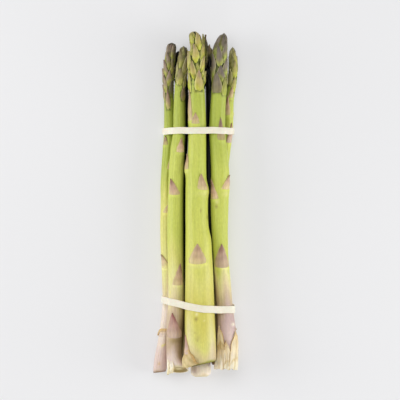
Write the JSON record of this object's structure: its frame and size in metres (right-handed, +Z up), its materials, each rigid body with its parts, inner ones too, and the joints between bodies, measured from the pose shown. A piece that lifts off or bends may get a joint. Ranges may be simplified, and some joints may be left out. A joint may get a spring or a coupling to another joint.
{
  "type": "bundle of asparagus",
  "caption": "Bundle of green asparagus spears with scaly pointed heads and pale cut feet, lying down and held by flat rubber bands.",
  "frame": {"origin": "middle of the bundle's footprint, on the surface that it lies on", "axes": "+Y along the spears from the cut feet to the heads, +X across the bundle, +Z up from the surface"},
  "size_m": [0.0634, 0.2569, 0.0364],
  "materials": {
    "spear_skin": "satin",
    "band_rubber": "matt"
  },
  "bodies": {
    "root": {"spear_far_left": "spear_skin", "spear_left": "spear_skin", "spear_middle": "spear_skin", "spear_right": "spear_skin", "spear_far_right": "spear_skin", "spear_behind_left": "spear_skin", "spear_behind_middle": "spear_skin", "spear_behind_right": "spear_skin", "band_upper": "band_rubber", "band_lower": "band_rubber"}
  },
  "joints": []
}
